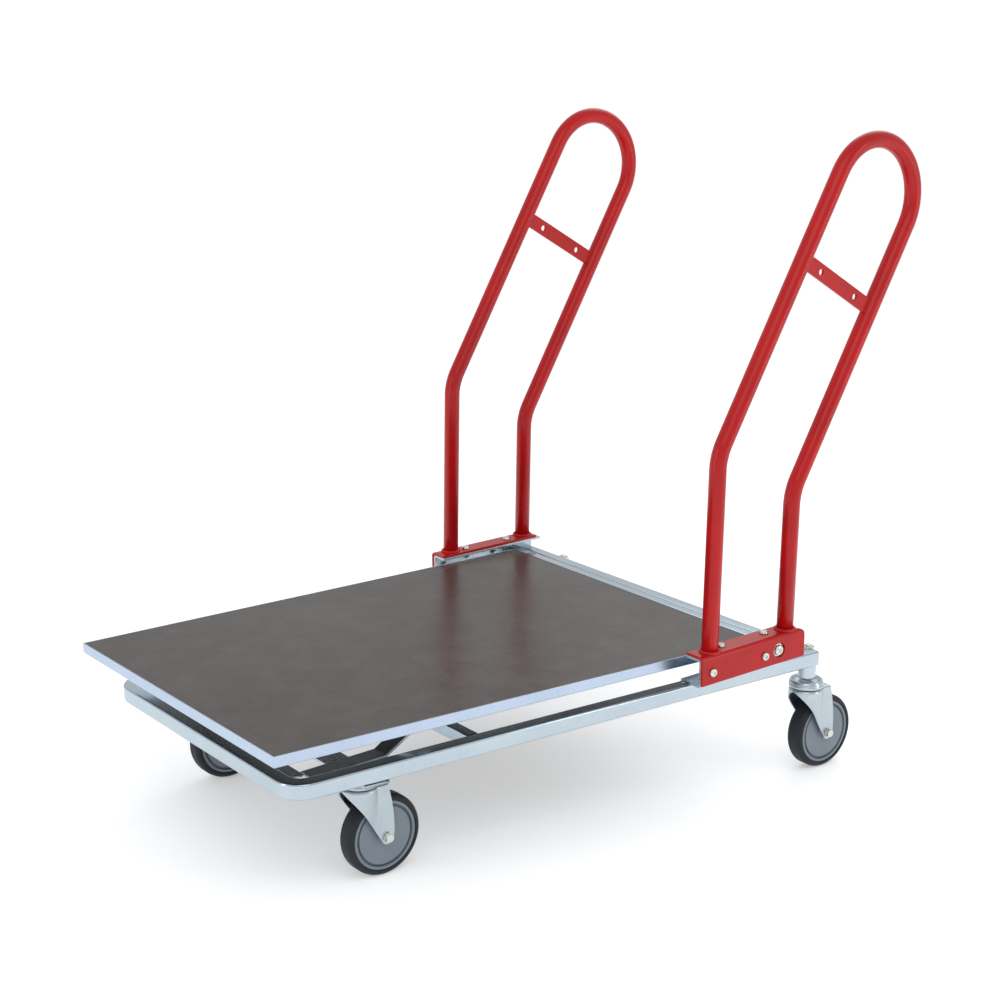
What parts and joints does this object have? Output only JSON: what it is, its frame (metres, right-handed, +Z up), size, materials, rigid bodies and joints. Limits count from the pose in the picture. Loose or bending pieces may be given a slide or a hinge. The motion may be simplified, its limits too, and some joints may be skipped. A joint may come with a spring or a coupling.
{
  "type": "folding platform cart",
  "caption": "Flat-bed hand cart on swivel casters, with a hinged deck that folds up for nesting and tall looped tube handles at the rear sides.",
  "frame": {"origin": "centre of the overall box in plan, on the floor under the wheels", "axes": "+X along the cart from the deck's free end to the handles, +Y across the cart to the right of a person who stands at the handles and looks over the deck, +Z up"},
  "size_m": [1.172, 0.7206, 1.0505],
  "materials": {
    "zinc_steel": "bright zinc plated steel, satin with a faint blue cast",
    "bright_fasteners": "zinc plated fasteners, semi-bright",
    "red_powder_coat": "gloss red powder coat",
    "film_faced_board": "dark brown film faced plywood, satin",
    "grey_plastic": "moulded grey plastic wheel body, satin",
    "tyre_rubber": "dark grey non-marking rubber, matte"
  },
  "bodies": {
    "base": {"base_tube_frame": "zinc_steel", "mid_cross_tube": "zinc_steel", "front_caster_carrier": "zinc_steel", "rest_cross_strip": "zinc_steel", "rear_cross_tube": "zinc_steel", "left_rest_strip": "zinc_steel", "left_bracket_channel": "zinc_steel", "left_handle_base_angle": "red_powder_coat", "left_handle_tube": "red_powder_coat", "left_handle_strap": "red_powder_coat", "left_side_bolt_1": "bright_fasteners", "left_side_bolt_2": "bright_fasteners", "left_top_bolt_1": "bright_fasteners", "left_top_bolt_2": "bright_fasteners", "left_pivot_bolt": "bright_fasteners", "left_pivot_bush": "bright_fasteners", "right_rest_strip": "zinc_steel", "right_bracket_channel": "zinc_steel", "right_handle_base_angle": "red_powder_coat", "right_handle_tube": "red_powder_coat", "right_handle_strap": "red_powder_coat", "right_side_bolt_1": "bright_fasteners", "right_side_bolt_2": "bright_fasteners", "right_top_bolt_1": "bright_fasteners", "right_top_bolt_2": "bright_fasteners", "right_pivot_bolt": "bright_fasteners", "right_pivot_bush": "bright_fasteners", "rear_left_socket": "zinc_steel", "rear_right_socket": "zinc_steel", "front_left_swivel_cup": "zinc_steel", "front_left_kingpin": "bright_fasteners", "front_right_swivel_cup": "zinc_steel", "front_right_kingpin": "bright_fasteners", "rear_left_swivel_cup": "zinc_steel", "rear_left_kingpin": "bright_fasteners", "rear_right_swivel_cup": "zinc_steel", "rear_right_kingpin": "bright_fasteners"},
    "deck": {"left_deck_edge_angle": "zinc_steel", "right_deck_edge_angle": "zinc_steel", "deck_board": "film_faced_board", "front_deck_edge_angle": "zinc_steel", "rear_deck_edge_angle": "zinc_steel", "deck_hinge_tube": "zinc_steel"},
    "front_left_swivel": {"front_left_fork": "zinc_steel", "front_left_axle_bolt": "bright_fasteners"},
    "front_left_wheel": {"front_left_wheel_core": "grey_plastic", "front_left_tyre": "tyre_rubber"},
    "front_right_swivel": {"front_right_fork": "zinc_steel", "front_right_axle_bolt": "bright_fasteners"},
    "front_right_wheel": {"front_right_wheel_core": "grey_plastic", "front_right_tyre": "tyre_rubber"},
    "rear_left_swivel": {"rear_left_fork": "zinc_steel", "rear_left_axle_bolt": "bright_fasteners"},
    "rear_left_wheel": {"rear_left_wheel_core": "grey_plastic", "rear_left_tyre": "tyre_rubber"},
    "rear_right_swivel": {"rear_right_fork": "zinc_steel", "rear_right_axle_bolt": "bright_fasteners"},
    "rear_right_wheel": {"rear_right_wheel_core": "grey_plastic", "rear_right_tyre": "tyre_rubber"}
  },
  "joints": [
    {"name": "deck_fold", "type": "hinge", "parent": "base", "child": "deck", "pos_m": [0.30635, 0, 0.2425], "axis": [0, 1, 0], "range_deg": [0, 100]},
    {"name": "front_left_swivel_turn", "type": "hinge", "parent": "base", "child": "front_left_swivel", "pos_m": [-0.40805, -0.222, 0.146], "axis": [0, 0, 1], "continuous": true},
    {"name": "front_left_wheel_roll", "type": "hinge", "parent": "front_left_swivel", "child": "front_left_wheel", "pos_m": [-0.37105, -0.222, 0.0625], "axis": [0, 1, 0], "continuous": true},
    {"name": "front_right_swivel_turn", "type": "hinge", "parent": "base", "child": "front_right_swivel", "pos_m": [-0.40805, 0.222, 0.146], "axis": [0, 0, 1], "continuous": true},
    {"name": "front_right_wheel_roll", "type": "hinge", "parent": "front_right_swivel", "child": "front_right_wheel", "pos_m": [-0.37105, 0.222, 0.0625], "axis": [0, 1, 0], "continuous": true},
    {"name": "rear_left_swivel_turn", "type": "hinge", "parent": "base", "child": "rear_left_swivel", "pos_m": [0.41695, -0.316, 0.146], "axis": [0, 0, 1], "continuous": true},
    {"name": "rear_left_wheel_roll", "type": "hinge", "parent": "rear_left_swivel", "child": "rear_left_wheel", "pos_m": [0.45395, -0.316, 0.0625], "axis": [0, 1, 0], "continuous": true},
    {"name": "rear_right_swivel_turn", "type": "hinge", "parent": "base", "child": "rear_right_swivel", "pos_m": [0.41695, 0.316, 0.146], "axis": [0, 0, 1], "continuous": true},
    {"name": "rear_right_wheel_roll", "type": "hinge", "parent": "rear_right_swivel", "child": "rear_right_wheel", "pos_m": [0.45395, 0.316, 0.0625], "axis": [0, 1, 0], "continuous": true}
  ]
}
